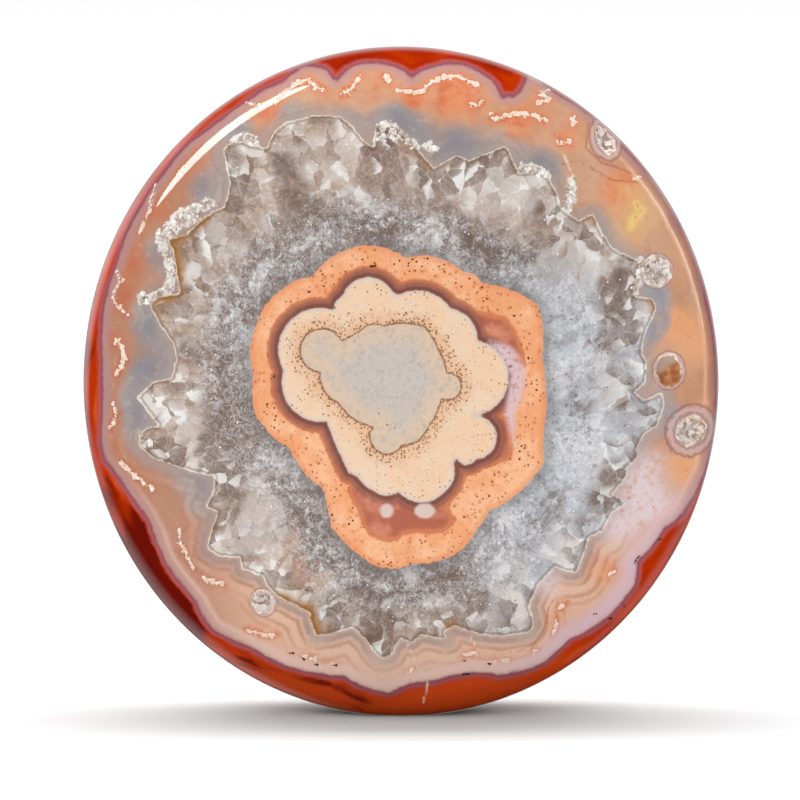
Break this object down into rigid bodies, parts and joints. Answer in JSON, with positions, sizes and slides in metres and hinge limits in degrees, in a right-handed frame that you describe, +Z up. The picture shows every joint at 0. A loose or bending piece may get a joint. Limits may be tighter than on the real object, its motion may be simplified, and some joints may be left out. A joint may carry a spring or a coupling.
{
  "type": "banded agate",
  "caption": "Polished oval agate pebble that stands on a small ground flat, with banding, a quartz ring and small crystal pockets.",
  "frame": {"origin": "centre of the small flat spot that the stone stands on, which is the middle of the underside of its box", "axes": "+Z up, +X to the right as seen from the front, and the front face with the pattern in the picture looks along -Y"},
  "size_m": [0.0762, 0.031, 0.0802],
  "materials": {
    "polished_agate": "mirror-polished, translucent look"
  },
  "bodies": {
    "root": {"agate_stone": "polished_agate"}
  },
  "joints": []
}
